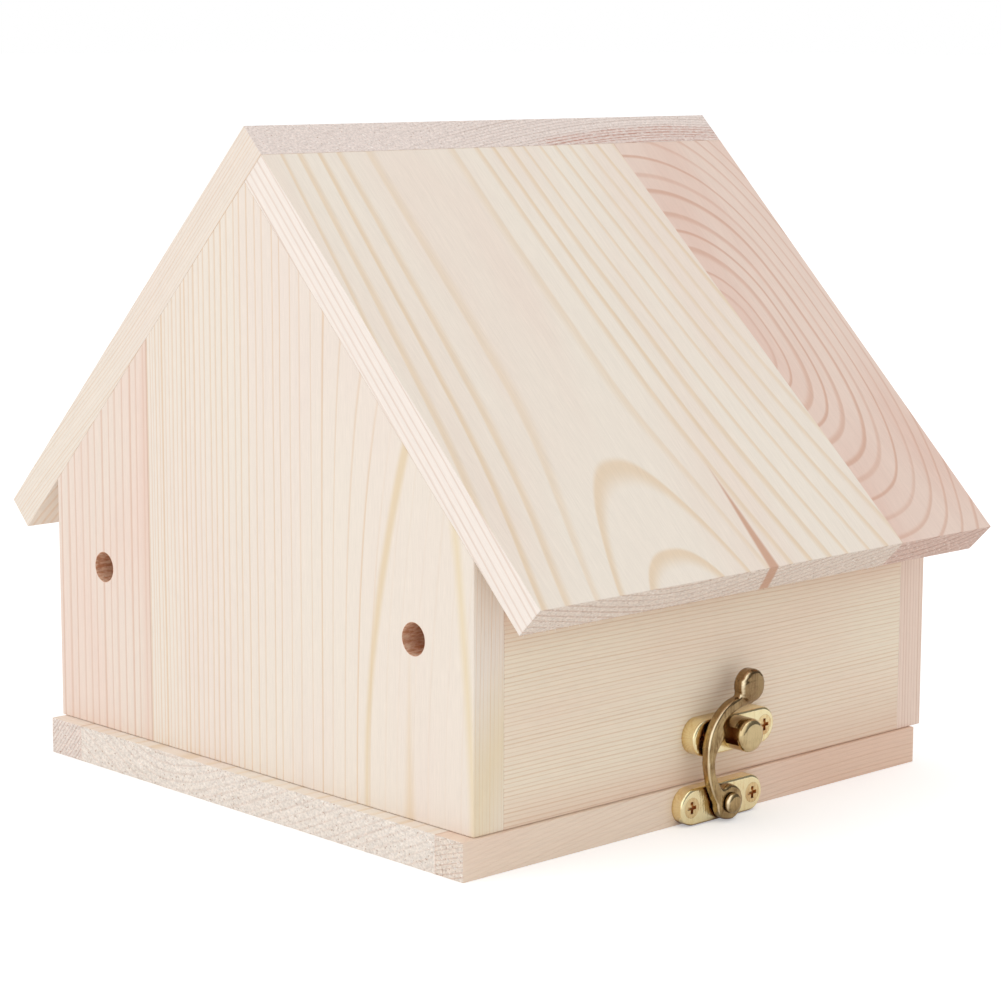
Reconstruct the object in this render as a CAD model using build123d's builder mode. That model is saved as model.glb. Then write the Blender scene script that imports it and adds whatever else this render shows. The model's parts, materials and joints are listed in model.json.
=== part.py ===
from build123d import *
import os
from math import sqrt

# A small gabled wooden bird house that hangs up and feeds birds, 195 mm across its eaves.
# All sizes are in millimetres. +Z is up, +X is the side with the latch, -X the side with the
# hinges, -Y the rear gable with the two hanging holes and +Y the front gable with the way in.
# The origin is the centre of the floor board's underside.

# ---- Driving dimensions: the boards ----
BOARD = 9.0  # every board is planed to this thickness
EASE = 0.2  # rounding along every sawn edge
FLOOR_X = 155.0
FLOOR_Y = 154.0
HOUSE_X = 155.0  # over the side walls
HOUSE_Y = 153.5  # over the gables, and the roof's length
HOUSE_SHIFT = (-1.0, 3.75)  # the house isn't quite centred over its floor
FLOOR_GAP = 0.1  # between the walls' feet and the floor
WALL_TOP = 70.0  # where a side wall's outer face meets the roof
SLOPE = 138.5  # from the ridge to an eave, along the roof's outer face

# ---- Driving dimensions: glue lines between staves ----
FLOOR_GLUE_HINGE_X = -65.0
FLOOR_GLUE_LATCH_X = 68.5
GABLE_GLUE_X = -40.0
ROOF_GLUE_Y = 40.0  # at the ridge
ROOF_GLUE_SLANT = 0.047  # how far it runs to the front, for each unit down the slope

# ---- Driving dimensions: holes and perch ----
HANG_HOLE_D = 7.5
HANG_HOLE_SPACING = 116.0
HANG_HOLE_Z = 50.0
ENTRANCE_D = 38.0
ENTRANCE_Z = 88.0
PERCH_D = 8.0
PERCH_REACH = 34.0  # from the front gable's face
PERCH_Z = 56.0
GLUE_CLEARANCE = 0.02

# ---- Driving dimensions: swing hook latch ----
PLATE_LENGTH = 27.8
PLATE_HEIGHT = 8.8
PLATE_SCREW_SPACING = 20.8
PLATE_BEVEL = 0.7
PIVOT_PLATE_T = 3.2
KEEPER_PLATE_T = 4.0
PIVOT_Y = 2.2
PIVOT_Z = BOARD / 2
KEEPER_Y = 6.3
KEEPER_Z = 20.2
POST_R = 4.0
POST_LENGTH = 6.1
POST_ROUNDING = 1.5
WINDOW_HEIGHT = 4.1
WINDOW_DEPTH = 2.8
WINDOW_SPAN = (0.4, 4.5)  # from the keeper plate's face
HOOK_T = 2.5
HOOK_GAP = 0.3  # on both faces of the hook
HOOK_EYE_R = 4.2
HOOK_KNOB_R = 4.0
HOOK_KNOB_T = 3.4
HOOK_KNOB_ROUNDING = 1.3
HOOK_KNOB_AT = (6.7, 26.8)  # along Y and Z from the pivot
RIVET_R = 1.5
RIVET_HEAD_R = 2.45
RIVET_HEAD_H = 1.2
RUNNING_CLEARANCE = 0.05

# ---- Driving dimensions: butt hinges under the other side wall ----
HINGE_Y = 45.0  # both ways from the floor's middle
HINGE_LENGTH = 24.0
LEAF_T = 0.9
KNUCKLE_R = 1.7
KNUCKLE_MIDDLE = 8.0
KNUCKLE_GAP = 0.3
HINGE_PIN_R = 0.9
PIN_HEAD_R = 1.3
PIN_HEAD_H = 0.6
HINGE_AXIS_Z = 7.5
WALL_LEAF_Z = (9.5, 17.3)
FLOOR_LEAF_Z = (0.8, 5.4)
WALL_LEAF_SCREW_Z = 13.8
FLOOR_LEAF_SCREW_Z = 3.1
LEAF_SCREW_SPACING = 15.6

# ---- Driving dimensions: screws, as shank radius, head radius and length ----
LATCH_SCREW = (1.25, 2.4, 11.5)
HINGE_SCREW = (0.9, 1.7, 8.0)
SCREW_CLEARANCE = 0.03
COUNTERSINK_ANGLE = 90.0
CROSS_ARM = 1.2  # times the head's radius
CROSS_SLOT = 0.36  # times the head's radius
CROSS_DEPTH = 0.3  # times the head's radius

# ---- Places worked out from them ----
SHIFT_X, SHIFT_Y = HOUSE_SHIFT
LATCH_FACE = SHIFT_X + HOUSE_X / 2
HINGE_FACE = SHIFT_X - HOUSE_X / 2
REAR_Y = SHIFT_Y - HOUSE_Y / 2
FRONT_Y = SHIFT_Y + HOUSE_Y / 2
FOOT_Z = BOARD + FLOOR_GAP
APEX_Z = WALL_TOP + HOUSE_X / 2  # the roof falls at 45 degrees
RIDGE_Z = APEX_Z + BOARD * sqrt(2)
FLOOR_EDGE = FLOOR_X / 2
PIVOT_FACE = FLOOR_EDGE + PIVOT_PLATE_T
KEEPER_FACE = LATCH_FACE + KEEPER_PLATE_T
HOOK_BACK = PIVOT_FACE + HOOK_GAP
HOOK_FACE = HOOK_BACK + HOOK_T
HINGE_AXIS_X = -FLOOR_EDGE - KNUCKLE_GAP - KNUCKLE_R
OUTER_KNUCKLE = (HINGE_LENGTH - KNUCKLE_MIDDLE) / 2 - KNUCKLE_GAP


def facing_latch_side(x, y=0, z=0):
    """A plane that faces +X, with its own x along +Y and its own y along +Z."""
    return Plane(origin=(x, y, z), x_dir=(0, 1, 0), z_dir=(1, 0, 0))


def facing_hinge_side(x, y=0, z=0):
    """A plane that faces -X, with its own x along -Y and its own y along +Z."""
    return Plane(origin=(x, y, z), x_dir=(0, -1, 0), z_dir=(-1, 0, 0))


def section(y):
    """A plane across the house at y that faces -Y, with its own x along +X and its own y along +Z."""
    return Plane.XZ.offset(-y)


def finish(builder, name):
    """Labels a finished piece and writes it."""
    builder.part.label = name
    export_step(builder.part, f"parts/{name}.step")


os.makedirs("parts", exist_ok=True)

# ---- Floor board: three staves glued edge to edge, with the grain along Y ----
latch_screw_ys = [PIVOT_Y - PLATE_SCREW_SPACING / 2, PIVOT_Y + PLATE_SCREW_SPACING / 2]
hinge_ys = [-HINGE_Y, HINGE_Y]
leaf_screw_ys = [y + side * LEAF_SCREW_SPACING / 2 for y in hinge_ys for side in (-1, 1)]

with BuildPart() as whole_floor:
    with BuildSketch(Plane.XY):
        Rectangle(FLOOR_X, FLOOR_Y)
    extrude(amount=BOARD)
    fillet(whole_floor.edges(), EASE)
    with Locations([facing_latch_side(FLOOR_EDGE, y, PIVOT_Z) for y in latch_screw_ys]):
        Hole(LATCH_SCREW[0] + SCREW_CLEARANCE, depth=LATCH_SCREW[2] - PIVOT_PLATE_T)
    with Locations([facing_hinge_side(-FLOOR_EDGE, y, FLOOR_LEAF_SCREW_Z) for y in leaf_screw_ys]):
        Hole(HINGE_SCREW[0] + SCREW_CLEARANCE, depth=HINGE_SCREW[2] - LEAF_T)

hinge_glue_line = Plane(origin=(FLOOR_GLUE_HINGE_X, 0, 0), z_dir=(1, 0, 0))
latch_glue_line = Plane(origin=(FLOOR_GLUE_LATCH_X, 0, 0), z_dir=(1, 0, 0))

with BuildPart() as floor_hinge_stave:
    add(whole_floor.part)
    split(bisect_by=hinge_glue_line, keep=Keep.BOTTOM)
finish(floor_hinge_stave, "floor_hinge_stave")

with BuildPart() as floor_middle_stave:
    add(whole_floor.part)
    split(bisect_by=hinge_glue_line, keep=Keep.TOP)
    split(bisect_by=latch_glue_line, keep=Keep.BOTTOM)
finish(floor_middle_stave, "floor_middle_stave")

with BuildPart() as floor_latch_stave:
    add(whole_floor.part)
    split(bisect_by=latch_glue_line, keep=Keep.TOP)
finish(floor_latch_stave, "floor_latch_stave")

# ---- Gables: five-sided panels as wide as the house, with the grain upright ----
gable_outline = [
    (HINGE_FACE, FOOT_Z),
    (LATCH_FACE, FOOT_Z),
    (LATCH_FACE, WALL_TOP),
    (SHIFT_X, APEX_Z),
    (HINGE_FACE, WALL_TOP),
]

with BuildPart() as whole_rear_gable:
    with BuildSketch(section(REAR_Y)):
        with BuildLine():
            Polyline(gable_outline, close=True)
        make_face()
    extrude(amount=-BOARD)
    fillet(whole_rear_gable.edges(), EASE)
    with BuildSketch(section(REAR_Y)):
        with Locations((SHIFT_X, HANG_HOLE_Z)):
            with GridLocations(HANG_HOLE_SPACING, 1, 2, 1):
                Circle(HANG_HOLE_D / 2)
    extrude(amount=-BOARD, mode=Mode.SUBTRACT)

gable_glue_line = Plane(origin=(GABLE_GLUE_X, 0, 0), z_dir=(1, 0, 0))

with BuildPart() as rear_gable_narrow_stave:
    add(whole_rear_gable.part)
    split(bisect_by=gable_glue_line, keep=Keep.BOTTOM)
finish(rear_gable_narrow_stave, "rear_gable_narrow_stave")

with BuildPart() as rear_gable_wide_stave:
    add(whole_rear_gable.part)
    split(bisect_by=gable_glue_line, keep=Keep.TOP)
finish(rear_gable_wide_stave, "rear_gable_wide_stave")

with BuildPart() as front_gable:
    with BuildSketch(section(FRONT_Y - BOARD)):
        with BuildLine():
            Polyline(gable_outline, close=True)
        make_face()
    extrude(amount=-BOARD)
    fillet(front_gable.edges(), EASE)
    with BuildSketch(section(FRONT_Y - BOARD)):
        with Locations((SHIFT_X, ENTRANCE_Z)):
            Circle(ENTRANCE_D / 2)
        with Locations((SHIFT_X, PERCH_Z)):
            Circle(PERCH_D / 2 + GLUE_CLEARANCE)
    extrude(amount=-BOARD, mode=Mode.SUBTRACT)
finish(front_gable, "front_gable")

# ---- Perch: a round dowel glued into the front gable under the way in ----
with BuildPart() as perch_dowel:
    with BuildSketch(section(FRONT_Y - BOARD)):
        with Locations((SHIFT_X, PERCH_Z)):
            Circle(PERCH_D / 2)
    extrude(amount=-(BOARD + PERCH_REACH))
    fillet(perch_dowel.edges().sort_by(Axis.Y)[-1], 3 * EASE)
finish(perch_dowel, "perch_dowel")


# ---- Side walls: between the gables, bevelled on top to meet the roof ----
def side_wall_outline(face, inwards):
    """A side wall's end, from its outer face at x = face; inwards is the way to the inside."""
    return [
        (face, FOOT_Z),
        (face + inwards * BOARD, FOOT_Z),
        (face + inwards * BOARD, WALL_TOP + BOARD),
        (face, WALL_TOP),
    ]


keeper_screw_ys = [KEEPER_Y - PLATE_SCREW_SPACING / 2, KEEPER_Y + PLATE_SCREW_SPACING / 2]

with BuildPart() as latch_side_wall:
    with BuildSketch(section(REAR_Y + BOARD)):
        with BuildLine():
            Polyline(side_wall_outline(LATCH_FACE, -1), close=True)
        make_face()
    extrude(amount=-(HOUSE_Y - 2 * BOARD))
    fillet(latch_side_wall.edges(), EASE)
    with Locations([facing_latch_side(LATCH_FACE, y, KEEPER_Z) for y in keeper_screw_ys]):
        Hole(LATCH_SCREW[0] + SCREW_CLEARANCE, depth=LATCH_SCREW[2] - KEEPER_PLATE_T)
finish(latch_side_wall, "latch_side_wall")

with BuildPart() as hinge_side_wall:
    with BuildSketch(section(REAR_Y + BOARD)):
        with BuildLine():
            Polyline(side_wall_outline(HINGE_FACE, 1), close=True)
        make_face()
    extrude(amount=-(HOUSE_Y - 2 * BOARD))
    fillet(hinge_side_wall.edges(), EASE)
    with Locations([facing_hinge_side(HINGE_FACE, y, WALL_LEAF_SCREW_Z) for y in leaf_screw_ys]):
        Hole(HINGE_SCREW[0] + SCREW_CLEARANCE, depth=HINGE_SCREW[2] - LEAF_T)
finish(hinge_side_wall, "hinge_side_wall")

# ---- Roof: the hinge-side board laps over the square end of the latch-side board ----
ridge = Vector(SHIFT_X, RIDGE_Z)
down_latch_side = Vector(1, -1) / sqrt(2)
down_hinge_side = Vector(-1, -1) / sqrt(2)
lap_end = ridge + down_latch_side * BOARD

with BuildPart() as hinge_side_roof:
    with BuildSketch(section(REAR_Y)):
        with BuildLine():
            Polyline(
                ridge,
                ridge + down_hinge_side * SLOPE,
                lap_end + down_hinge_side * SLOPE,
                lap_end,
                close=True,
            )
        make_face()
    extrude(amount=-HOUSE_Y)
    fillet(hinge_side_roof.edges(), EASE)
finish(hinge_side_roof, "hinge_side_roof")

with BuildPart() as whole_latch_side_roof:
    with BuildSketch(section(REAR_Y)):
        with BuildLine():
            Polyline(
                lap_end,
                ridge + down_latch_side * SLOPE,
                ridge + down_latch_side * SLOPE + down_hinge_side * BOARD,
                lap_end + down_hinge_side * BOARD,
                close=True,
            )
        make_face()
    extrude(amount=-HOUSE_Y)
    fillet(whole_latch_side_roof.edges(), EASE)

# The glue line runs down the slope, turned a little about the slope's own normal.
down_slope = Vector(1, 0, -1) / sqrt(2)
across_slope = Vector(0, 1, 0) - down_slope * ROOF_GLUE_SLANT
roof_glue_line = Plane(origin=(SHIFT_X, ROOF_GLUE_Y, RIDGE_Z), z_dir=across_slope)

with BuildPart() as latch_side_roof_wide_stave:
    add(whole_latch_side_roof.part)
    split(bisect_by=roof_glue_line, keep=Keep.BOTTOM)
finish(latch_side_roof_wide_stave, "latch_side_roof_wide_stave")

with BuildPart() as latch_side_roof_narrow_stave:
    add(whole_latch_side_roof.part)
    split(bisect_by=roof_glue_line, keep=Keep.TOP)
finish(latch_side_roof_narrow_stave, "latch_side_roof_narrow_stave")


# ---- Screws ----
def screw_hole(sizes):
    """A countersunk hole for a screw, with a little clearance all round."""
    shank_r, head_r, _ = sizes
    CounterSinkHole(
        shank_r + SCREW_CLEARANCE, head_r + SCREW_CLEARANCE, counter_sink_angle=COUNTERSINK_ANGLE
    )


def wood_screw(seat, sizes):
    """A countersunk cross-head wood screw whose head lies flush in the seat plane."""
    shank_r, head_r, length = sizes
    cone_h = head_r - shank_r
    point_h = 2 * shank_r
    with BuildPart() as screw:
        with BuildSketch(seat):
            Circle(head_r)
        with BuildSketch(seat.offset(-cone_h)):
            Circle(shank_r)
        loft()
        with BuildSketch(seat.offset(-cone_h)):
            Circle(shank_r)
        extrude(amount=-(length - cone_h - point_h))
        with BuildSketch(seat.offset(point_h - length)):
            Circle(shank_r)
        with BuildSketch(seat.offset(-length)):
            Circle(shank_r / 4)
        loft()
        with BuildSketch(seat):
            Rectangle(CROSS_ARM * head_r, CROSS_SLOT * head_r)
            Rectangle(CROSS_SLOT * head_r, CROSS_ARM * head_r)
        extrude(amount=-CROSS_DEPTH * head_r, mode=Mode.SUBTRACT)
    return screw.part


with BuildPart() as pivot_plate_screws:
    for y in latch_screw_ys:
        add(wood_screw(facing_latch_side(PIVOT_FACE, y, PIVOT_Z), LATCH_SCREW))
finish(pivot_plate_screws, "pivot_plate_screws")

with BuildPart() as keeper_screws:
    for y in keeper_screw_ys:
        add(wood_screw(facing_latch_side(KEEPER_FACE, y, KEEPER_Z), LATCH_SCREW))
finish(keeper_screws, "keeper_screws")

with BuildPart() as hinge_wall_screws:
    for y in leaf_screw_ys:
        seat = facing_hinge_side(HINGE_FACE - LEAF_T, y, WALL_LEAF_SCREW_Z)
        add(wood_screw(seat, HINGE_SCREW))
finish(hinge_wall_screws, "hinge_wall_screws")

with BuildPart() as hinge_floor_screws:
    for y in leaf_screw_ys:
        seat = facing_hinge_side(-FLOOR_EDGE - LEAF_T, y, FLOOR_LEAF_SCREW_Z)
        add(wood_screw(seat, HINGE_SCREW))
finish(hinge_floor_screws, "hinge_floor_screws")


# ---- Latch ----
def latch_plate(face, thickness, y, z):
    """A long plate with round ends and a rounded front edge, without its holes."""
    seat = facing_latch_side(face, y, z)
    with BuildPart() as plate:
        with BuildSketch(seat.offset(-thickness)):
            SlotOverall(PLATE_LENGTH, PLATE_HEIGHT)
        extrude(amount=thickness)
        fillet(plate.faces().sort_by(Axis.X)[-1].edges(), PLATE_BEVEL)
    return plate.part


with BuildPart() as latch_pivot_plate:
    add(latch_plate(PIVOT_FACE, PIVOT_PLATE_T, PIVOT_Y, PIVOT_Z))
    with Locations([facing_latch_side(PIVOT_FACE, y, PIVOT_Z) for y in latch_screw_ys]):
        screw_hole(LATCH_SCREW)
    with Locations(facing_latch_side(PIVOT_FACE, PIVOT_Y, PIVOT_Z)):
        Hole(RIVET_R + GLUE_CLEARANCE)
finish(latch_pivot_plate, "latch_pivot_plate")

# The keeper is one casting: its plate, and a post with a domed end and a window on the hook's side.
with BuildPart() as latch_keeper:
    add(latch_plate(KEEPER_FACE, KEEPER_PLATE_T, KEEPER_Y, KEEPER_Z))
    with Locations([facing_latch_side(KEEPER_FACE, y, KEEPER_Z) for y in keeper_screw_ys]):
        screw_hole(LATCH_SCREW)
    with BuildSketch(facing_latch_side(KEEPER_FACE, KEEPER_Y, KEEPER_Z)):
        Circle(POST_R)
    extrude(amount=POST_LENGTH)
    fillet(latch_keeper.faces().sort_by(Axis.X)[-1].edges(), POST_ROUNDING)
    with BuildSketch(facing_latch_side(KEEPER_FACE + WINDOW_SPAN[0], KEEPER_Y, KEEPER_Z)):
        with Locations((-POST_R, 0)):
            Rectangle(2 * WINDOW_DEPTH, WINDOW_HEIGHT)
    extrude(amount=WINDOW_SPAN[1] - WINDOW_SPAN[0], mode=Mode.SUBTRACT)
finish(latch_keeper, "latch_keeper")

with BuildPart() as latch_rivet:
    with BuildSketch(facing_latch_side(FLOOR_EDGE + GLUE_CLEARANCE, PIVOT_Y, PIVOT_Z)):
        Circle(RIVET_R)
    extrude(amount=HOOK_FACE + HOOK_GAP - FLOOR_EDGE - GLUE_CLEARANCE)
    with BuildSketch(facing_latch_side(HOOK_FACE + HOOK_GAP, PIVOT_Y, PIVOT_Z)):
        Circle(RIVET_HEAD_R)
    extrude(amount=RIVET_HEAD_H)
    fillet(latch_rivet.faces().sort_by(Axis.X)[-1].edges(), RIVET_HEAD_H - EASE / 2)
finish(latch_rivet, "latch_rivet")

# The hook bulges away from the post, has a tooth that goes into the post's window, and ends in a round
# knob. Its points are from the pivot, along Y and Z: up the outer edge from the eye into the knob, and
# back down the inner edge, past the tooth.
HOOK_OUTER = [(-1.2, -3.2), (-7.8, 12.0), (3.9, 24.7)]
HOOK_KNOB_ROOT = (9.2, 23.6)
HOOK_INNER_TOP = [(6.9, 22.3), (-2.2, 19.4)]
HOOK_TOOTH = [(-2.6, 18.5), (-2.0, 17.3), (-2.1, 15.7), (-4.7, 12.6)]
HOOK_INNER_FOOT = [(-5.4, 10.3), (-1.9, 3.1)]
HOOK_OUTER_RADII = (20.0, 12.0)
HOOK_INNER_RADII = (14.0, 9.0)
HOOK_CROTCH_R = 0.8
HOOK_TOOTH_R = 0.5
HOOK_ROUNDING = 0.7

with BuildPart() as latch_hook:
    with BuildSketch(facing_latch_side(HOOK_BACK, PIVOT_Y, PIVOT_Z)):
        with BuildLine():
            RadiusArc(HOOK_OUTER[0], HOOK_OUTER[1], HOOK_OUTER_RADII[0])
            RadiusArc(HOOK_OUTER[1], HOOK_OUTER[2], HOOK_OUTER_RADII[1])
            Polyline(HOOK_OUTER[2], HOOK_KNOB_ROOT, HOOK_INNER_TOP[0])
            RadiusArc(HOOK_INNER_TOP[0], HOOK_INNER_TOP[1], -HOOK_INNER_RADII[0])
            Polyline(HOOK_INNER_TOP[1], *HOOK_TOOTH, HOOK_INNER_FOOT[0])
            RadiusArc(HOOK_INNER_FOOT[0], HOOK_INNER_FOOT[1], -HOOK_INNER_RADII[1])
            Line(HOOK_INNER_FOOT[1], HOOK_OUTER[0])
        make_face()
        Circle(HOOK_EYE_R)
        with Locations(HOOK_KNOB_AT):
            Circle(HOOK_KNOB_R)
        offset(amount=HOOK_CROTCH_R)
        offset(amount=-HOOK_CROTCH_R)
        offset(amount=-HOOK_TOOTH_R)
        offset(amount=HOOK_TOOTH_R)
    extrude(amount=HOOK_T)
    fillet(latch_hook.faces().sort_by(Axis.X)[-1].edges(), HOOK_ROUNDING)
    fillet(latch_hook.faces().sort_by(Axis.X)[0].edges(), HOOK_ROUNDING / 2)
    knob = facing_latch_side(HOOK_BACK, PIVOT_Y + HOOK_KNOB_AT[0], PIVOT_Z + HOOK_KNOB_AT[1])
    with BuildSketch(knob.offset(HOOK_ROUNDING)):
        Circle(HOOK_KNOB_R)
    extrude(amount=HOOK_KNOB_T - HOOK_ROUNDING)
    fillet(latch_hook.faces().sort_by(Axis.X)[-1].edges(), HOOK_KNOB_ROUNDING)
    with Locations(facing_latch_side(HOOK_FACE, PIVOT_Y, PIVOT_Z)):
        Hole(RIVET_R + RUNNING_CLEARANCE)
finish(latch_hook, "latch_hook")


# ---- Hinges ----
def leaf_plate(face, y_range, z_range):
    """A flat stretch of a leaf that lies against the wood at x = face."""
    with BuildPart() as plate:
        with BuildSketch(facing_hinge_side(face)):
            with Locations((-sum(y_range) / 2, sum(z_range) / 2)):
                Rectangle(y_range[1] - y_range[0], z_range[1] - z_range[0])
        extrude(amount=LEAF_T)
    return plate.part


def rod(start_y, length, radius):
    """A round bar on the hinges' axis from y = start_y."""
    with BuildPart() as bar:
        with BuildSketch(section(start_y)):
            with Locations((HINGE_AXIS_X, HINGE_AXIS_Z)):
                Circle(radius)
        extrude(amount=-length)
    return bar.part


for side_name, middle_y in (("rear", -HINGE_Y), ("front", HINGE_Y)):
    end_ys = (middle_y - HINGE_LENGTH / 2, middle_y + HINGE_LENGTH / 2)
    screw_ys = [middle_y - LEAF_SCREW_SPACING / 2, middle_y + LEAF_SCREW_SPACING / 2]

    with BuildPart() as wall_leaf:
        add(leaf_plate(HINGE_FACE, end_ys, WALL_LEAF_Z))
        for start_y in (end_ys[0], end_ys[1] - OUTER_KNUCKLE):
            knuckle_ys = (start_y, start_y + OUTER_KNUCKLE)
            add(leaf_plate(HINGE_FACE, knuckle_ys, (HINGE_AXIS_Z, WALL_LEAF_Z[0])))
            add(rod(start_y, OUTER_KNUCKLE, KNUCKLE_R))
        add(rod(end_ys[0], HINGE_LENGTH, HINGE_PIN_R + GLUE_CLEARANCE), mode=Mode.SUBTRACT)
        outer_face = HINGE_FACE - LEAF_T
        with Locations([facing_hinge_side(outer_face, y, WALL_LEAF_SCREW_Z) for y in screw_ys]):
            screw_hole(HINGE_SCREW)
    finish(wall_leaf, f"{side_name}_hinge_wall_leaf")

    tab_ys = (middle_y - KNUCKLE_MIDDLE / 2, middle_y + KNUCKLE_MIDDLE / 2)
    with BuildPart() as floor_leaf:
        add(leaf_plate(-FLOOR_EDGE, end_ys, FLOOR_LEAF_Z))
        add(leaf_plate(-FLOOR_EDGE, tab_ys, (FLOOR_LEAF_Z[1], HINGE_AXIS_Z)))
        add(rod(tab_ys[0], KNUCKLE_MIDDLE, KNUCKLE_R))
        add(
            rod(tab_ys[0], KNUCKLE_MIDDLE, HINGE_PIN_R + RUNNING_CLEARANCE), mode=Mode.SUBTRACT
        )
        outer_face = -FLOOR_EDGE - LEAF_T
        with Locations([facing_hinge_side(outer_face, y, FLOOR_LEAF_SCREW_Z) for y in screw_ys]):
            screw_hole(HINGE_SCREW)
    finish(floor_leaf, f"{side_name}_hinge_floor_leaf")

    with BuildPart() as hinge_pin:
        add(rod(end_ys[0], HINGE_LENGTH, HINGE_PIN_R))
        add(rod(end_ys[0] - PIN_HEAD_H, PIN_HEAD_H, PIN_HEAD_R))
        add(rod(end_ys[1], PIN_HEAD_H, PIN_HEAD_R))
        fillet(hinge_pin.edges().group_by(Axis.Y)[0], EASE)
        fillet(hinge_pin.edges().group_by(Axis.Y)[-1], EASE)
    finish(hinge_pin, f"{side_name}_hinge_pin")
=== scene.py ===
"""The looks of a small pine bird house with a swing hook latch.

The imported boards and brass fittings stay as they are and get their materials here. The wood is a solid:
each stave has its own growth rings, worked out in the object's own coordinates, so that its faces, its
edges and its end grain agree and nothing slides when the floor or the hook swings.
"""

import json
import math

import bmesh
import bpy
import random
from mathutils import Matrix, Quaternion, Vector, noise


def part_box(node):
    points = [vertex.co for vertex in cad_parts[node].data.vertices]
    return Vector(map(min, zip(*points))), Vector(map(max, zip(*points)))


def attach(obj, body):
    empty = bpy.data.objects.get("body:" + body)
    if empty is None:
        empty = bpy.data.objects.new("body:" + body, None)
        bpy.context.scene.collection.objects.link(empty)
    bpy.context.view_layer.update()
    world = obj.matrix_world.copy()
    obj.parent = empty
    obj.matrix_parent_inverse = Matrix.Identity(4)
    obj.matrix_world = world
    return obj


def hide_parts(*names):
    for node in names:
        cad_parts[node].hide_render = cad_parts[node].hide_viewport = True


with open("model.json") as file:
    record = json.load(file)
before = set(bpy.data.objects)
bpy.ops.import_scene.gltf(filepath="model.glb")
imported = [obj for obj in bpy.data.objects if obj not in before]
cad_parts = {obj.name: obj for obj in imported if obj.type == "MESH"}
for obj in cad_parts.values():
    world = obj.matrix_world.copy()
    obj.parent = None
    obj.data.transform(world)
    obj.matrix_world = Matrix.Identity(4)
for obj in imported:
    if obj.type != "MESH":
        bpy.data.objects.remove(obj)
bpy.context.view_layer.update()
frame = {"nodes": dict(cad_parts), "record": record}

MM = 0.001
COS45 = math.sqrt(0.5)


def paint(red, green, blue):
    """A colour from 0 to 255 a channel, as a shader socket takes it."""
    return (*[(c / 255) ** 2.2 for c in (red, green, blue)], 1.0)


# ---- Places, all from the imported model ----
floor_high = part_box("floor_middle_stave")[1]
ridge_low, ridge_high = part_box("hinge_side_roof")
wall_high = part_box("latch_side_wall")[1]
front_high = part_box("front_gable")[1]
other_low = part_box("hinge_side_wall")[0]
narrow_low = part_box("rear_gable_narrow_stave")[0]
dowel_low, dowel_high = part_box("perch_dowel")
house_centre = Vector(((other_low.x + wall_high.x) / 2, (ridge_low.y + ridge_high.y) / 2, 0))
RIDGE = Vector((house_centre.x, 0, ridge_high.z))
PIVOT = sum(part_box("latch_rivet"), Vector()) / 2


# ---- Shader formulas ----
class Field:
    """A number that varies over a surface. It takes part in ordinary arithmetic."""

    def __init__(self, net, socket):
        self.net, self.socket = net, socket

    def __add__(self, other):
        return self.net.math("ADD", self, other)

    def __radd__(self, other):
        return self.net.math("ADD", other, self)

    def __sub__(self, other):
        return self.net.math("SUBTRACT", self, other)

    def __rsub__(self, other):
        return self.net.math("SUBTRACT", other, self)

    def __mul__(self, other):
        return self.net.math("MULTIPLY", self, other)

    def __rmul__(self, other):
        return self.net.math("MULTIPLY", other, self)

    def __truediv__(self, other):
        return self.net.math("DIVIDE", self, other)

    def __pow__(self, other):
        return self.net.math("POWER", self, other)

    def __abs__(self):
        return self.net.math("ABSOLUTE", self)


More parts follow.
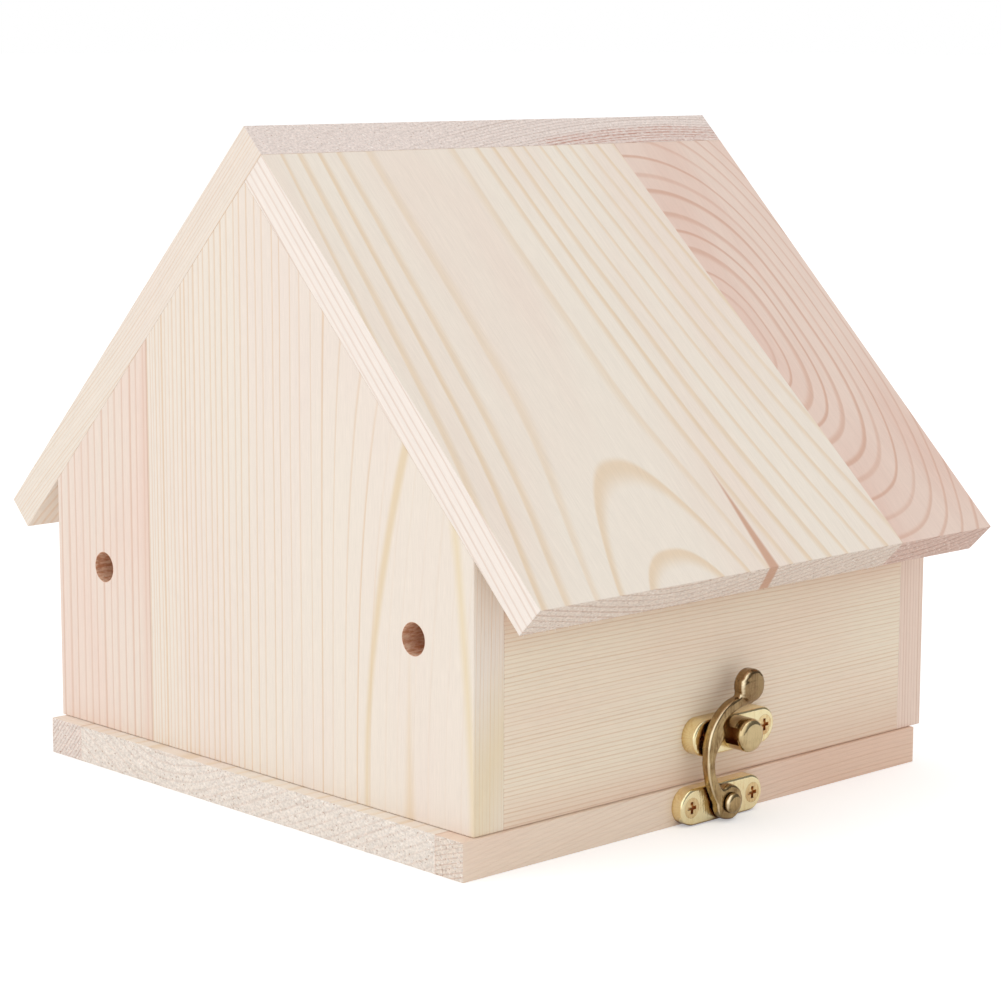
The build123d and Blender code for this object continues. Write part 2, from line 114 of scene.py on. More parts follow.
class Net:
    """Adds nodes to one material and links them."""

    def __init__(self, tree):
        self.tree = tree
        self.tree.nodes.clear()

    def feed(self, socket, value):
        if isinstance(value, Field):
            value = value.socket
        if isinstance(value, bpy.types.NodeSocket):
            self.tree.links.new(value, socket)
        else:
            socket.default_value = value

    def put(self, kind, inputs=None, **settings):
        node = self.tree.nodes.new(kind)
        for name, value in settings.items():
            setattr(node, name, value)
        for key, value in (inputs or {}).items():
            self.feed(node.inputs[key], value)
        return node

    def math(self, operation, *values):
        node = self.put("ShaderNodeMath", dict(enumerate(values)), operation=operation)
        return Field(self, node.outputs[0])

    def smooth(self, value, low, high):
        """0 below low, 1 above high, and a smooth step in between."""
        inputs = {"Value": value, "From Min": low, "From Max": high}
        node = self.put("ShaderNodeMapRange", inputs, interpolation_type="SMOOTHSTEP")
        return Field(self, node.outputs[0])

    def vector(self, x, y, z):
        return self.put("ShaderNodeCombineXYZ", {0: x, 1: y, 2: z}).outputs[0]

    def dot(self, vector, direction):
        inputs = {0: vector, 1: tuple(direction)}
        node = self.put("ShaderNodeVectorMath", inputs, operation="DOT_PRODUCT")
        return Field(self, node.outputs["Value"])

    def noise(self, vector, detail=2.0, roughness=0.5, scale=1.0):
        """Noise about 0, mostly within -0.5 and 0.5."""
        inputs = {"Vector": vector, "Scale": scale, "Detail": detail, "Roughness": roughness}
        return Field(self, self.put("ShaderNodeTexNoise", inputs).outputs[0]) - 0.5

    def noise_along(self, value, detail=1.0):
        inputs = {"W": value, "Scale": 1.0, "Detail": detail}
        return Field(self, self.put("ShaderNodeTexNoise", inputs, noise_dimensions="1D").outputs[0]) - 0.5

    def random(self, value):
        node = self.put("ShaderNodeTexWhiteNoise", {"W": value}, noise_dimensions="1D")
        return Field(self, node.outputs["Value"])

    def mix(self, factor, first, second, blend="MIX"):
        inputs = {0: factor, 6: first, 7: second}
        node = self.put("ShaderNodeMix", inputs, data_type="RGBA", blend_type=blend, clamp_factor=True)
        return node.outputs[2]

    def shade(self, colour, amount):
        """The colour made lighter or darker by amount, a field about 0."""
        grey = self.put("ShaderNodeCombineColor", {0: 1 + amount, 1: 1 + amount, 2: 1 + amount}).outputs[0]
        return self.mix(1.0, colour, grey, "MULTIPLY")

    def bump(self, height, depth, normal=None):
        inputs = {"Height": height, "Distance": depth, "Strength": 1.0}
        if normal is not None:
            inputs["Normal"] = normal
        return self.put("ShaderNodeBump", inputs).outputs[0]


def new_material(name):
    material = bpy.data.materials.new(name)
    material.use_nodes = True
    return material, Net(material.node_tree)


# ---- Pine ----
RELIEF_DEPTH = 0.12 * MM
FACING = (0.6, 0.85)  # how square a face is to a direction before it counts as facing that way
PINHOLE = paint(90, 62, 48)

# A board's frame: where its outer face starts, and the directions across the grain on that face, into the
# board, and along the grain.
BOARDS = {
    "latch_roof": (RIDGE, (0, 1, 0), (-COS45, 0, -COS45), (COS45, 0, -COS45)),
    "hinge_roof": (RIDGE, (0, 1, 0), (COS45, 0, -COS45), (-COS45, 0, -COS45)),
    "rear_gable": (Vector((0, narrow_low.y, 0)), (1, 0, 0), (0, 1, 0), (0, 0, 1)),
    "front_gable": (Vector((0, front_high.y, 0)), (1, 0, 0), (0, -1, 0), (0, 0, 1)),
    "latch_wall": (Vector((wall_high.x, 0, 0)), (0, 0, 1), (-1, 0, 0), (0, 1, 0)),
    "hinge_wall": (Vector((other_low.x, 0, 0)), (0, 0, 1), (1, 0, 0), (0, 1, 0)),
    "floor": (Vector((0, 0, floor_high.z)), (1, 0, 0), (0, 0, -1), (0, 1, 0)),
    "dowel": (
        Vector(((dowel_low.x + dowel_high.x) / 2, 0, (dowel_low.z + dowel_high.z) / 2)),
        (1, 0, 0),
        (0, 0, -1),
        (0, 1, 0),
    ),
}

CREAM = dict(
    early=paint(241, 230, 216),
    late=paint(232, 208, 178),
    blush=paint(240, 224, 210),
    end=paint(228, 212, 198),
    end_late=paint(204, 174, 156),
)
WARM = dict(
    early=paint(243, 231, 217),
    late=paint(230, 199, 168),
    blush=paint(243, 228, 216),
    end=paint(236, 222, 212),
    end_late=paint(208, 178, 164),
)
ROSY = dict(
    early=paint(242, 226, 212),
    late=paint(222, 184, 162),
    blush=paint(243, 218, 204),
    end=paint(230, 210, 198),
    end_late=paint(200, 164, 148),
)
PINK = dict(
    early=paint(235, 212, 198),
    late=paint(208, 158, 132),
    blush=paint(229, 197, 182),
    end=paint(216, 186, 172),
    end_late=paint(178, 128, 110),
)
FINE = dict(
    early=paint(244, 230, 208),
    late=paint(220, 184, 150),
    blush=paint(242, 221, 200),
    end=paint(240, 226, 212),
    end_late=paint(222, 194, 174),
)
EDGE = dict(
    early=paint(240, 220, 200),
    late=paint(214, 172, 144),
    blush=paint(238, 210, 190),
    end=paint(234, 219, 205),
    end_late=paint(210, 180, 162),
)
STREAK = paint(204, 156, 128)
GLUE = paint(196, 142, 112)
HOLE_WALL = paint(206, 146, 112)
HOLE_PALE = paint(242, 208, 180)
FLECK = paint(252, 246, 240)
PORE = paint(186, 144, 118)

# Growth rings, in millimetres and rings. A ring's number is
#   (across ** power + height ** power) ** (1 / power) - first + depth_rate * depth
# where across grows to either side of the centre line and height says how far above the pith the face is.
# A stripe is a coloured band of its own: its centre line across the grain as a curve along it, its half
# width as a line along it, and how far it leans for each millimetre of depth. One with rows shows on the
# sawn end only, and its rows are ring numbers with the sign turned.
STAVES = {
    "latch_side_roof_wide_stave": dict(
        board="latch_roof", wood=CREAM, seed=3.0, centre=-27.5, rates=(0.195, 0.213), spread=-0.0022,
        height=3.5, apex=(80.0, 43.0), power=2.6, first=2.2, depth_rate=0.5, late=(0.62, 0.9, 0.985),
        late_strength=0.9, wander=0.7, glue=(1,), side=(paint(250, 238, 228), paint(228, 206, 190)),
        stripes=[
            dict(curve=(0.5, 0.0, 0.0), half=(-6.4, 0.0575), lean=0.39, soft=0.45, colour=STREAK,
                 strength=0.85),
        ],
    ),
    "latch_side_roof_narrow_stave": dict(
        board="latch_roof", wood=PINK, seed=11.0, centre=35.0, rates=(0.10, 0.2), stretch=0.007,
        closing=(72.5, 0.158, 0.176), power=2.6, first=0.5, depth_rate=0.45, late=(0.68, 0.86, 0.97),
        late_strength=0.66, wander=1.0, glue=(0,),
    ),
    "hinge_side_roof": dict(
        board="hinge_roof", wood=WARM, seed=21.0, centre=60.0, lean=0.03, rates=(0.34, 0.34), height=25.6,
        apex=(50.0, 19.0), first=25.6, depth_rate=-1.1, late=(0.5, 0.86, 0.98), late_strength=0.62,
        wander=0.8, end_fade=(-32.0, 6.0), end=paint(234, 219, 211), end_late=paint(204, 183, 172),
        stripes=[
            dict(curve=(49.0, 0.0, 0.0), half=(33.0, 0.0), lean=0.0, soft=4.0, colour=paint(184, 112, 88),
                 strength=0.95, rows=(3.0, 5.0)),
        ],
    ),
    "rear_gable_wide_stave": dict(
        board="rear_gable", wood=WARM, seed=31.0, centre=-41.5, flare=(-0.022, 0.0011, 62.0, 96.0),
        rates=(1.0, 1.0), widening=0.042, first=0.0, depth_rate=0.9, late=(0.55, 0.86, 0.98),
        late_strength=0.85, wander=0.35, faint=(38.0, 50.0), thinner=(-20.0, 20.0), glue=(0,),
        stripes=[
            dict(curve=(41.2, -0.039, 0.002), half=(0.4, 0.01), lean=0.2, soft=0.9,
                 colour=paint(230, 204, 160), strength=0.64),
            dict(curve=(55.6, 0.0, 0.0), half=(1.8, -0.05), lean=0.1, soft=1.6, colour=paint(230, 201, 158),
                 strength=0.5),
            dict(curve=(77.2, -0.03, -0.0008), half=(1.0, 0.0), lean=0.1, soft=1.4,
                 colour=paint(236, 214, 168), strength=0.6),
        ],
    ),
    "rear_gable_narrow_stave": dict(
        board="rear_gable", wood=ROSY, seed=41.0, centre=-100.0, rates=(0.34, 0.34), first=0.0,
        depth_rate=0.2, late=(0.66, 0.88, 0.98), late_strength=0.75, wander=0.3, glue=(1,),
        stripes=[
            dict(curve=(-42.0, 0.01, 0.0), half=(1.6, 0.0), lean=0.0, soft=1.4, colour=paint(232, 198, 180),
                 strength=0.35),
        ],
    ),
    "front_gable": dict(
        board="front_gable", wood=CREAM, seed=51.0, centre=-14.0, lean=0.05, rates=(0.2, 0.17), height=3.0,
        apex=(60.0, 40.0), first=2.0, depth_rate=0.9, late=(0.6, 0.86, 0.98), late_strength=0.75, wander=1.0,
        side=(paint(240, 216, 200), paint(214, 180, 160)),
    ),
    "latch_side_wall": dict(
        board="latch_wall", wood=FINE, seed=61.0, centre=-4.0, rates=(1.02, 1.02), first=0.0,
        depth_rate=0.3, late=(0.58, 0.85, 0.98), late_strength=0.66, wander=0.5,
        stripes=[
            # painted shade under the eave, across the top of the wall
            dict(curve=(72.0, 0.0, 0.0), half=(17.0, 0.0), lean=0.0, soft=8.0, colour=paint(217, 170, 146),
                 strength=0.72),
            # a darker band along the bottom of the wall
            dict(curve=(9.0, 0.03, 0.0), half=(5.0, 0.02), lean=0.0, soft=7.0, colour=paint(226, 190, 168),
                 strength=0.5),
        ],
    ),
    "hinge_side_wall": dict(
        board="hinge_wall", wood=WARM, seed=71.0, centre=-6.0, lean=0.01, rates=(0.4, 0.4), first=0.0,
        depth_rate=0.3, late=(0.5, 0.85, 0.98), late_strength=0.6, wander=0.7,
    ),
    "floor_hinge_stave": dict(
        board="floor", wood=WARM, seed=81.0, centre=-110.0, rates=(0.75, 0.75), first=0.0,
        depth_rate=0.7, late=(0.5, 0.85, 0.98), late_strength=0.6, wander=0.6, glue=(1,),
    ),
    "floor_middle_stave": dict(
        board="floor", wood=CREAM, seed=91.0, centre=-28.0, lean=0.02, rates=(0.3, 0.22), height=4.0,
        first=1.5, depth_rate=0.5, late=(0.55, 0.86, 0.98), late_strength=0.7, wander=0.9, glue=(0, 1),
        end=paint(240, 229, 218), end_late=paint(228, 211, 198),
    ),
    "floor_latch_stave": dict(
        board="floor", wood=EDGE, seed=101.0, centre=40.0, rates=(0.25, 0.25), first=0.0,
        depth_rate=0.9, bow=(62.0, -0.0006), late=(0.6, 0.86, 0.98), late_strength=0.55, wander=1.1,
        zone=(-5.0, 45.0, paint(230, 191, 168), 0.62), glue=(0,), along_fade=(-70.0, 55.0),
    ),
    "perch_dowel": dict(
        board="dowel", wood=CREAM, seed=111.0, centre=-6.0, rates=(0.5, 0.5), first=0.0,
        depth_rate=0.3, late=(0.5, 0.85, 0.98), late_strength=0.6, wander=0.3,
    ),
}

# Where a drill went through the rear gable: the two hanging holes, as their middle along X and Z and their
# radius.
HANGING_HOLES = [
    (mount["pos_m"][0], mount["pos_m"][2], mount["dims"]["r_mm"] * MM)
    for mount in frame["record"]["mounts"]
    if mount["kind"] == "bore"
]


def ring_number(net, stave, u, v, w):
    """The growth ring at each point, as a number that rises outwards from the pith."""
    wander = stave["wander"]
    slow = net.noise(net.vector(u / 22 + stave["seed"], v / 22, w / 75), detail=1.0)
    quick = net.noise(net.vector(u / 5 + stave["seed"], v / 5, w / 34), detail=2.0)
    du = u - stave["centre"] - stave.get("lean", 0.0) * w + wander * (2.6 * slow + 0.5 * quick)
    if "flare" in stave:
        slant, curl, near, far = stave["flare"]
        du = du - (slant * w + curl * w * w) * net.smooth(du, near, far)
    low, high = stave["rates"]
    if "widening" in stave:
        q = stave["widening"]
        across = net.math("LOGARITHM", net.math("MAXIMUM", 1 + q * du, 0.05), math.e) * (high / q)
    else:
        far = net.math("GREATER_THAN", du, 0.0)
        across = abs(du) * (low + (high - low) * far) * (1 + stave.get("spread", 0.0) * w)
        across = across * (1 + stave.get("stretch", 0.0) * abs(du))
    rings = across
    if "apex" in stave or "closing" in stave or "height" in stave:
        if "closing" in stave:
            middle, above, below = stave["closing"]
            height = net.math("MAXIMUM", (middle - w) * above, (w - middle) * below)
        elif "apex" in stave:
            start, length = stave["apex"]
            past = net.math("MAXIMUM", w - start, 0.0) / length
            height = net.math("MAXIMUM", stave["height"] - past * past, 0.0)
        else:
            height = stave["height"]
        power = stave.get("power", 2.0)
        rings = (across ** power + net.math("POWER", height, power)) ** (1 / power)
    rings = rings - stave["first"] + stave["depth_rate"] * v
    if "bow" in stave:
        middle, amount = stave["bow"]
        rings = rings + amount * (w - middle) ** 2
    return rings + 0.55 * net.noise_along(rings * 0.8 + stave["seed"])


def latewood(net, stave, rings, u):
    """1 in the dark part of each ring. It comes in slowly from the inside and ends sharply outside."""
    start, full, end = stave["late"]
    if "thinner" in stave:
        near, far = stave["thinner"]
        later = net.smooth(u, near, far)
        start, full = start + 0.26 * later, full + 0.06 * later
    part = net.math("FRACT", rings)
    line = net.smooth(part, start, full) * (1 - net.smooth(part, end - 0.06, 1.0))
    vary = net.random(net.math("FLOOR", rings) + stave["seed"])
    return line * (0.55 + 0.45 * vary)


def pine(name, stave):
    """Solid pine for one stave."""
    material, net = new_material("pine_" + name)
    wood = stave["wood"]
    origin, across, inward, along = BOARDS[stave["board"]]
    place = net.put("ShaderNodeTexCoord")
    point, normal = place.outputs["Object"], place.outputs["Normal"]

    def coordinate(direction):
        return (net.dot(point, direction) - Vector(origin).dot(Vector(direction))) / MM

    u, v, w = coordinate(across), coordinate(inward), coordinate(along)
    rings = ring_number(net, stave, u, v, w)
    line = latewood(net, stave, rings, u)

    # what the eye sees along the grain
    broad = net.noise(net.vector(u / 26, v / 26 + stave["seed"], w / 90), detail=2.0)
    streaks = net.noise(net.vector(u / 0.9, v / 0.9, w / 45 + stave["seed"]), detail=2.0)
    fibres = net.noise(net.vector(u / 0.22, v / 0.22, w / 5 + stave["seed"]), detail=2.0, roughness=0.6)
    ground = net.mix(net.smooth(broad, -0.12, 0.22), wood["early"], wood["blush"])
    late_colour = wood["late"]
    if "zone" in stave:
        start, full, tint, amount = stave["zone"]
        ground = net.mix(net.smooth(w, start, full) * amount, ground, tint)
    if "side" in stave:
        sides = net.smooth(abs(net.dot(normal, across)), *FACING)
        ground = net.mix(sides, ground, stave["side"][0])
        late_colour = net.mix(sides, late_colour, stave["side"][1])
    strength = stave["late_strength"]
    if "faint" in stave:
        flat = 1 - net.smooth(abs(net.dot(normal, across)), *FACING)
        strength = strength * (1 - 0.85 * flat * net.smooth(u, *stave["faint"]))
    if "along_fade" in stave:
        strength = strength * (0.3 + 0.7 * net.smooth(w, *stave["along_fade"]))
    long_grain = net.mix(line * strength, ground, late_colour)
    long_grain = net.shade(long_grain, 0.07 * streaks + 0.17 * fibres)

    # the sawn ends: cut fibres with pores, pale flecks and torn patches
    cut = net.noise(net.vector(u / 0.7, v / 0.55, w / 3), detail=3.0, roughness=0.7)
    torn = net.noise(net.vector(u / 2.4 + stave["seed"], v / 1.4, w / 6), detail=3.0, roughness=0.7)
    fleck = net.noise(net.vector(u / 0.75, v / 0.5 + stave["seed"], w / 3), detail=2.0, roughness=0.6)
    pits = net.noise(net.vector(u / 0.62 + stave["seed"], v / 0.5, w / 8), detail=1.0)
    pores = net.smooth(pits, 0.16, 0.26)
    end_pale, end_dark = stave.get("end", wood["end"]), stave.get("end_late", wood["end_late"])
    end_line = line * 0.85
    if "end_fade" in stave:
        end_line = end_line * (0.2 + 0.8 * net.smooth(u, *stave["end_fade"]))
    end_grain = net.mix(end_line, end_pale, end_dark)
    end_grain = net.mix(0.6 * net.smooth(fleck, 0.06, 0.2), end_grain, FLECK)
    end_grain = net.shade(end_grain, 0.85 * cut + 0.3 * torn)
    end_grain = net.mix(0.7 * pores, end_grain, PORE)
    ends = net.smooth(abs(net.dot(normal, along)), *FACING)
    colour = net.mix(ends, long_grain, end_grain)

    # resin and heartwood streaks, and on the latch side's wall a painted shade under the eave and a darker
    # band along its bottom
    for stripe in stave.get("stripes", []):
        a, b, c = stripe["curve"]
        half, growth = stripe["half"]
        middle = a + (b * w + c * w * w) + stripe["lean"] * v
        away = abs(u + 0.8 * net.noise(net.vector(u / 9, v / 9, w / 30), detail=1.0) - middle)
        reach = half + growth * w
        inside = 1 - net.smooth(away, reach - stripe["soft"], reach + stripe["soft"])
        if "rows" in stripe:
            low, high = stripe["rows"]
            # only rings laid down early enough are stained, and the stain is broken into dashes
            patch = 3 * net.noise(net.vector(u / 11 + stave["seed"], v / 9, 0.0), detail=2.0) - rings
            dashes = net.noise(net.vector(u / 1.6, v / 0.6, 0.0), detail=1.0)
            inside = inside * net.smooth(patch, low, high) * ends
            inside = inside * (0.22 + 0.78 * line) * net.smooth(dashes, -0.25, 0.1)
        colour = net.mix(inside * stripe["strength"], colour, stripe["colour"])

    # the glue lines between staves
    limits = [(Vector(corner) - Vector(origin)).dot(Vector(across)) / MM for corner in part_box(name)]
    for side in stave.get("glue", ()):
        near = 1 - net.smooth(abs(u - limits[side]), 0.1, 0.45)
        colour = net.mix(near * (0.45 - 0.3 * ends), colour, GLUE)

    # the scorched walls of the hanging holes
    hole = 0.0
    if stave["board"] == "rear_gable":
        x, z = net.dot(point, (1, 0, 0)), net.dot(point, (0, 0, 1))
        for hole_x, hole_z, radius in HANGING_HOLES:
            away = ((x - hole_x) ** 2 + (z - hole_z) ** 2) ** 0.5
            hole = hole + (1 - net.smooth(away, radius * 1.004, radius * 1.03))
        scorch = net.noise(net.vector(u / 0.7, v / 2.5, w / 0.7), detail=3.0, roughness=0.6)
        wall = net.mix(net.smooth(scorch, -0.15, 0.2), HOLE_WALL, HOLE_PALE)
        colour = net.mix(hole, colour, wall)

    specks = net.put(
        "ShaderNodeTexVoronoi",
        {"Vector": net.vector(u / 17 + stave["seed"], v / 17, w / 23), "Scale": 1.0, "Randomness": 1.0},
    )
    pinhole = 1 - net.smooth(Field(net, specks.outputs["Distance"]), 0.012, 0.022)
    chosen = net.dot(specks.outputs["Color"], (1, 0, 0))
    pinhole = pinhole * net.math("GREATER_THAN", chosen, 0.8)
    colour = net.mix(pinhole * 0.8, colour, PINHOLE)

    faces_relief = fibres * 0.5 + streaks * 0.4 + line * 0.25
    relief = (1 - ends) * faces_relief + ends * (cut * 1.4 + torn * 1.6 - pores)
    rough = 0.56 + 0.1 * fibres + 0.16 * ends - 0.06 * line
    surface = net.put(
        "ShaderNodeBsdfPrincipled",
        {
            "Base Color": colour,
            "Roughness": rough,
            "Specular IOR Level": 0.32,
            "Normal": net.bump(relief, RELIEF_DEPTH),
        },
    )
    out = net.put("ShaderNodeOutputMaterial", {"Surface": surface.outputs[0]})
    out.target = "ALL"
    return material


# ---- Brass ----
BRASS = {
    "bright_brass": dict(clean=paint(250, 236, 190), dull=paint(226, 192, 122), worn=0.1, rough=(0.13, 0.26)),
    "aged_brass": dict(
        clean=paint(188, 162, 118), dull=paint(112, 86, 56), worn=0.4, rough=(0.18, 0.32),
        # a painted highlight for the edges that face the key light, then the knob's own darker colour
        painted_edge_highlight=paint(244, 226, 190), knob=paint(126, 98, 70),
    ),
    "keeper_brass": dict(
        # cavity: how far the darkening of recesses reaches, tarnish and painted shade; wide enough to darken
        # the post's window
        clean=paint(250, 236, 190), dull=paint(226, 192, 122), worn=0.1, rough=(0.13, 0.26), cavity=0.0045,
        post=(paint(206, 184, 140), paint(150, 124, 86)),
    ),
    "screw_brass": dict(
        clean=paint(238, 214, 162), dull=paint(196, 148, 98), worn=0.3, rough=(0.16, 0.3),
        # the colour of the screw slots: their tarnish and a painted shade
        tarnish_and_shade_in_recesses=paint(176, 124, 84),
    ),
    "hinge_brass": dict(clean=paint(248, 230, 180), dull=paint(218, 182, 114), worn=0.2, rough=(0.15, 0.28)),
}


# The keeper's post rises from its plate about 3 mm out from the wall.
KEEPER_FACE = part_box("latch_keeper")[0].x + 3.0 * MM
# The colour of recesses: the tarnish gathered there and a painted shade.
TARNISH_AND_SHADE_IN_RECESSES = paint(112, 62, 36)
KNOB_RISE = (17, 25)  # above the pivot, in millimetres: where the arm's colour turns into the knob's


def brass(name, look):
    """Plated brass: tarnish in patches, recesses darkened partly by the tarnish that gathers there and partly
    by painted shade, drawn scratches, and a cast unevenness. The aged brass also gets a painted highlight on
    its edges that face the key light.
    """
    material, net = new_material(name)
    point = net.put("ShaderNodeTexCoord").outputs["Object"]
    x, y, z = (net.dot(point, axis) / MM for axis in ((1, 0, 0), (0, 1, 0), (0, 0, 1)))
    patches = net.noise(net.vector(x / 2.4, y / 2.4, z / 3.4), detail=3.0)
    grains = net.noise(net.vector(x / 0.4, y / 0.4, z / 0.9), detail=3.0, roughness=0.6)
    drawn = net.noise(net.vector(x / 0.5, y / 0.35, z / 5), detail=2.0)
    # Recesses found by ambient occlusion turn darker: partly the tarnish that gathers in them, partly painted
    # shade.
    recess = net.put("ShaderNodeAmbientOcclusion", {"Distance": look.get("cavity", 0.0018)}, samples=8)
    recess_tarnish_and_shade = 1 - net.smooth(Field(net, recess.outputs["AO"]), 0.2, 0.85)
    tarnish_and_recess_shade = net.smooth(0.7 * patches + 0.25 * grains + 0.5 * drawn + look["worn"] * 0.5, 0.0, 0.5)
    tarnish_and_recess_shade = net.math("MAXIMUM", tarnish_and_recess_shade, recess_tarnish_and_shade)
    colour = net.mix(tarnish_and_recess_shade, look["clean"], look["dull"])
    if "post" in look:
        post = net.smooth(x, KEEPER_FACE / MM + 0.3, KEEPER_FACE / MM + 3.5)
        colour = net.mix(post, colour, net.mix(tarnish_and_recess_shade, *look["post"]))
    # recesses painted darker still, tarnish and painted shade together
    colour = net.mix(net.smooth(recess_tarnish_and_shade, 0.35, 0.95) * 0.9, colour, look.get("tarnish_and_shade_in_recesses", TARNISH_AND_SHADE_IN_RECESSES))
    if "knob" in look:
        low, high = KNOB_RISE
        knob = net.smooth(z, PIVOT.z / MM + low, PIVOT.z / MM + high)
        colour = net.mix(0.55 * knob, colour, look["knob"])
    # A painted highlight: the edges that face out and towards the key light, up and to the left, are painted
    # pale.
    if "painted_edge_highlight" in look:
        normal = net.put("ShaderNodeTexCoord").outputs["Normal"]
        out, left = net.dot(normal, (1, 0, 0)), net.dot(normal, (0, -0.94, 0.34))
        painted_highlight_mask = net.smooth(out, 0.15, 0.45) * net.smooth(left, 0.4, 0.75)
        colour = net.mix(painted_highlight_mask * 0.85, colour, look["painted_edge_highlight"])
    smooth_low, smooth_high = look["rough"]
    surface = net.put(
        "ShaderNodeBsdfPrincipled",
        {
            "Base Color": colour,
            "Metallic": 1.0,
            "Roughness": smooth_low + (smooth_high - smooth_low) * tarnish_and_recess_shade,
            "Normal": net.bump(patches * 0.8 + grains * 0.08 + drawn * 0.35, RELIEF_DEPTH),
        },
    )
    net.put("ShaderNodeOutputMaterial", {"Surface": surface.outputs[0]})
    return material


NODE_BRASS = {
    "latch_pivot_plate": "bright_brass",
    "latch_keeper": "keeper_brass",
    "latch_hook": "aged_brass",
    "latch_rivet": "aged_brass",
    "pivot_plate_screws": "screw_brass",
    "keeper_screws": "screw_brass",
    "hinge_wall_screws": "screw_brass",
    "hinge_floor_screws": "screw_brass",
}

for name, stave in STAVES.items():
    node = frame["nodes"][name]
    node.data.materials.clear()
    node.data.materials.append(pine(name, stave))

brasses = {name: brass(name, look) for name, look in BRASS.items()}
for name, node in frame["nodes"].items():
    if name not in STAVES:
        node.data.materials.clear()
        node.data.materials.append(brasses[NODE_BRASS.get(name, "hinge_brass")])


# ---- The hook as cast, with soft edges and the flow marks of the mould ----
BOW_CENTRE = Vector((PIVOT.y + 6.5 * MM, PIVOT.z + 10.5 * MM))


def flow_marks(point):
    """How far a point of the hook stands out: ridges that run along its bow, and a slow unevenness."""
    from_bow = Vector((point.y, point.z)) - BOW_CENTRE
    across = from_bow.length / (0.55 * MM)
    along = math.atan2(from_bow.y, from_bow.x)
    ridges = noise.noise(Vector((across, 2.2 * along, point.x / (1.5 * MM))))
    slow = noise.noise(point / (2.6 * MM))
    return (0.08 * ridges + 0.07 * slow) * MM


def cast_hook():
    source = frame["nodes"]["latch_hook"]
    hook = bpy.data.objects.new("hook_casting", source.data.copy())
    bpy.context.scene.collection.objects.link(hook)
    remesh = hook.modifiers.new("remesh", "REMESH")
    remesh.mode, remesh.voxel_size = "VOXEL", 0.22 * MM
    smooth = hook.modifiers.new("smooth", "SMOOTH")
    smooth.factor, smooth.iterations = 0.5, 12
    shaped = hook.evaluated_get(bpy.context.evaluated_depsgraph_get())
    mesh = bpy.data.meshes.new_from_object(shaped)
    hook.modifiers.clear()
    hook.data = mesh
    for vertex in mesh.vertices:
        vertex.co += vertex.normal * flow_marks(vertex.co)
    mesh.shade_smooth()
    mesh.materials.clear()
    mesh.materials.append(brasses["aged_brass"])
    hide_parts("latch_hook")
    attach(hook, "hook")


cast_hook()

# ---- Torn fibres along the sawn edges ----
SLIVER_RINGS = 4
SLIVER_SIDES = 4


def sliver(mesh, root, direction, length, radius, curl):
    """A thin fibre that tapers to a point and bends towards curl."""
    side = direction.orthogonal().normalized()
    other = direction.cross(side).normalized()
    rings = []
    for step in range(SLIVER_RINGS):
        part = step / SLIVER_RINGS
        middle = root + direction * (length * part) + curl * (length * part * part)
        size = radius * (1 - part) ** 0.7
        ring = []
        for corner in range(SLIVER_SIDES):
            turn = 2 * math.pi * corner / SLIVER_SIDES
            ring.append(mesh.verts.new(middle + (side * math.cos(turn) + other * math.sin(turn)) * size))
        rings.append(ring)
    tip = mesh.verts.new(root + direction * length + curl * length)
    mesh.faces.new(list(reversed(rings[0])))
    for low, high in zip(rings, rings[1:]):
        for corner in range(SLIVER_SIDES):
            after = (corner + 1) % SLIVER_SIDES
            mesh.faces.new((low[corner], low[after], high[after], high[corner]))
    for corner in range(SLIVER_SIDES):
        mesh.faces.new((rings[-1][corner], rings[-1][(corner + 1) % SLIVER_SIDES], tip))


def torn_fibres(name, body, wood, roots, seed):
    """One object of fibres. Each root is the line they grow along, their direction and how many there are.
    None reaches past the roof's own outermost edge.
    """
    draw = random.Random(seed)
    mesh = bmesh.new()
    for start, end, direction, count in roots:
        for _ in range(count):
            root = start.lerp(end, draw.random())
            sway = Vector([draw.gauss(0, 0.4) for _ in range(3)])
            way = (direction + sway).normalized()
            curl = Vector([draw.gauss(0, 0.35) for _ in range(3)])
            length = MM * draw.uniform(0.25, 0.7) * (1 + 1.2 * draw.random() ** 4)
            sliver(mesh, root - way * 0.15 * MM, way, length, MM * draw.uniform(0.04, 0.085), curl)
    for vertex in mesh.verts:
        vertex.co.x = min(vertex.co.x, roof_high.x)
    data = bpy.data.meshes.new(name)
    mesh.to_mesh(data)
    mesh.free()
    data.materials.append(frame["nodes"][wood].data.materials[0])
    fibres = bpy.data.objects.new(name, data)
    bpy.context.scene.collection.objects.link(fibres)
    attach(fibres, body)


def on_roof(across, depth, along):
    """A point of the latch side's roof board, from millimetres across, into and down it."""
    origin, _, inward, down = BOARDS["latch_roof"]
    return origin + Vector((0, across, 0)) * MM + Vector(inward) * (depth * MM) + Vector(down) * (along * MM)


roof_low, roof_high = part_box("latch_side_roof_wide_stave")
ROOF_T = 9.0
EAVE = (roof_high.x - RIDGE.x) / COS45 / MM
ROOF_NEAR, ROOF_FAR = roof_low.y / MM, roof_high.y / MM
DOWN = Vector(BOARDS["latch_roof"][3])
INWARD = Vector(BOARDS["latch_roof"][2])
torn_fibres(
    "eave_fibres",
    "house",
    "latch_side_roof_wide_stave",
    [
        (on_roof(ROOF_NEAR, ROOF_T, EAVE), on_roof(ROOF_FAR, ROOF_T, EAVE), INWARD * 0.8 + DOWN * 0.5, 90),
        (
            on_roof(ROOF_NEAR, 0.1, EAVE - 0.1),
            on_roof(ROOF_FAR, 0.1, EAVE - 0.1),
            DOWN * 0.9 + INWARD * 0.5,
            24,
        ),
        (
            on_roof(ROOF_NEAR, 1.0, EAVE),
            on_roof(ROOF_NEAR, ROOF_T, EAVE),
            DOWN * 0.3 + INWARD * 0.5 - Vector((0, 1, 0)),
            10,
        ),
    ],
    5,
)

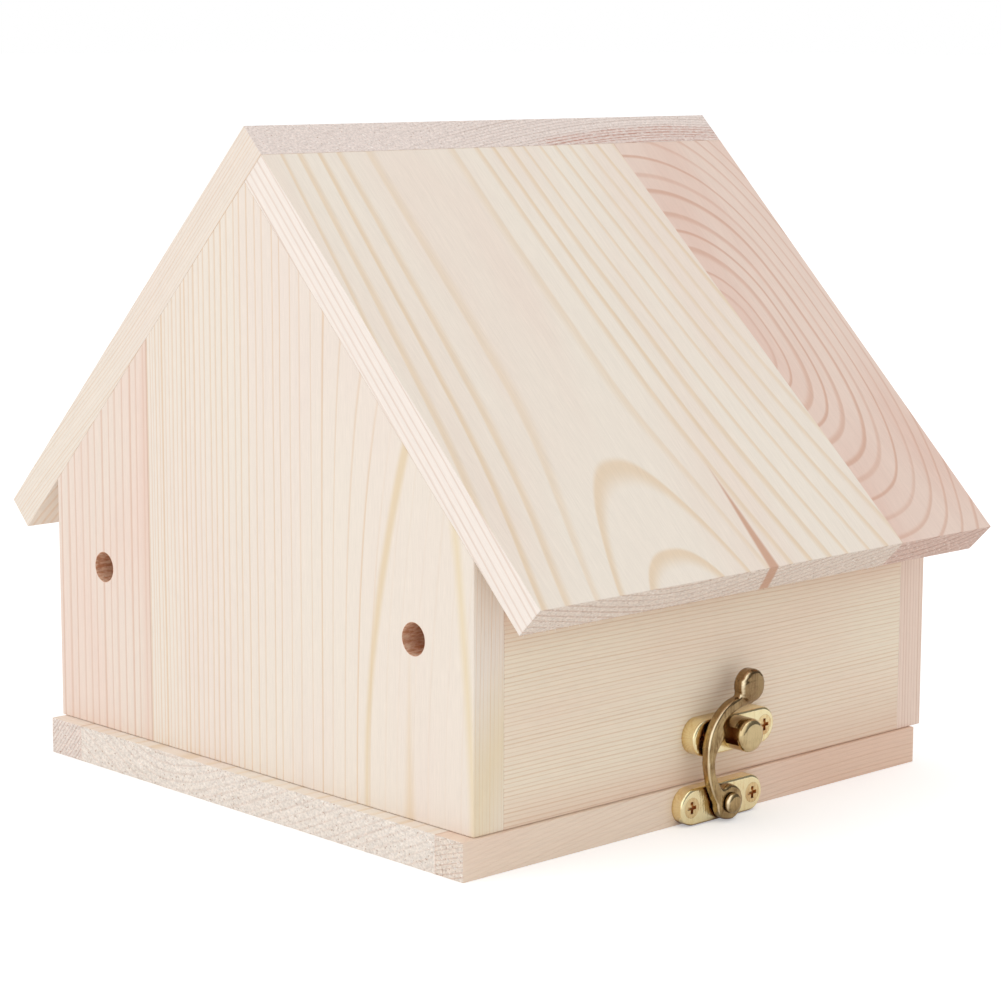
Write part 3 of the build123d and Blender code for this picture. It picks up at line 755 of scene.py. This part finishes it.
# ---- Floor, light and camera ----
stage_material, stage_net = new_material("studio_white")
stage_lit = stage_net.put("ShaderNodeBsdfDiffuse", {"Color": (0.86, 0.86, 0.86, 1.0)})
stage_seen = Field(stage_net, stage_net.put("ShaderNodeLightPath").outputs["Is Camera Ray"])
stage_glow = stage_net.put(
    "ShaderNodeEmission", {"Color": (1.0, 1.0, 1.0, 1.0), "Strength": 0.1 + 0.26 * stage_seen}
)
stage_surface = stage_net.put("ShaderNodeAddShader", {0: stage_lit.outputs[0], 1: stage_glow.outputs[0]})
stage_net.put("ShaderNodeOutputMaterial", {"Surface": stage_surface.outputs[0]})
bpy.ops.mesh.primitive_plane_add(size=60.0, location=(0, 0, 0))
studio_floor = bpy.context.object
studio_floor.name = "studio_floor"
studio_floor.data.materials.append(stage_material)

world = bpy.data.worlds.new("studio")
bpy.context.scene.world = world
world.use_nodes = True
sky = Net(world.node_tree)
rays = sky.put("ShaderNodeLightPath").outputs
seen = rays["Is Camera Ray"]
towards_sky = sky.put("ShaderNodeTexCoord").outputs["Generated"]
facing_key = sky.smooth(sky.dot(towards_sky, (-0.2, -0.75, 0.6)), -0.25, 0.75)
mirrored = Field(sky, rays["Is Glossy Ray"])
glow_strength = 0.82 + mirrored * (facing_key * 1.1 - 0.62)
glow = sky.put("ShaderNodeBackground", {"Color": (1.0, 1.0, 1.0, 1.0), "Strength": glow_strength})
plain = sky.put("ShaderNodeBackground", {"Color": (1.0, 1.0, 1.0, 1.0), "Strength": 1.0})
both = sky.put("ShaderNodeMixShader", {0: seen, 1: glow.outputs[0], 2: plain.outputs[0]})
sky.put("ShaderNodeOutputWorld", {"Surface": both.outputs[0]})


def softbox(name, place, size, power):
    """A square light that faces the house."""
    light = bpy.data.lights.new(name, "AREA")
    light.size, light.energy = size, power
    lamp = bpy.data.objects.new(name, light)
    lamp.location = place
    lamp.rotation_mode = "QUATERNION"
    lamp.rotation_quaternion = (house_centre - Vector(place)).to_track_quat("-Z", "Y")
    bpy.context.scene.collection.objects.link(lamp)


softbox("key_softbox", (-0.7, -1.9, 1.6), 1.4, 9.0)
softbox("top_softbox", (0.5, 0.2, 2.2), 1.6, 5.0)

CAMERA_AZIMUTH = math.radians(46.767)
CAMERA_ELEVATION = math.radians(9.268)
CAMERA_ROLL = math.radians(0.155)
CAMERA_DISTANCE = 0.70467
CAMERA_LENS = 101.304
look_at = house_centre + Vector((0.0043, -0.0002, 0.0659))
back = Vector(
    (
        math.sin(CAMERA_AZIMUTH) * math.cos(CAMERA_ELEVATION),
        -math.cos(CAMERA_AZIMUTH) * math.cos(CAMERA_ELEVATION),
        math.sin(CAMERA_ELEVATION),
    )
)
camera = bpy.data.objects.new("camera", bpy.data.cameras.new("camera"))
camera.data.lens = CAMERA_LENS
camera.data.sensor_width = 36.0
camera.location = look_at + back * CAMERA_DISTANCE
camera.rotation_mode = "QUATERNION"
camera.rotation_quaternion = (-back).to_track_quat("-Z", "Y") @ Quaternion((0, 0, 1), CAMERA_ROLL)
camera.data.clip_start = 0.01
bpy.context.scene.collection.objects.link(camera)
bpy.context.scene.camera = camera
bpy.context.scene.view_settings.view_transform = "Standard"
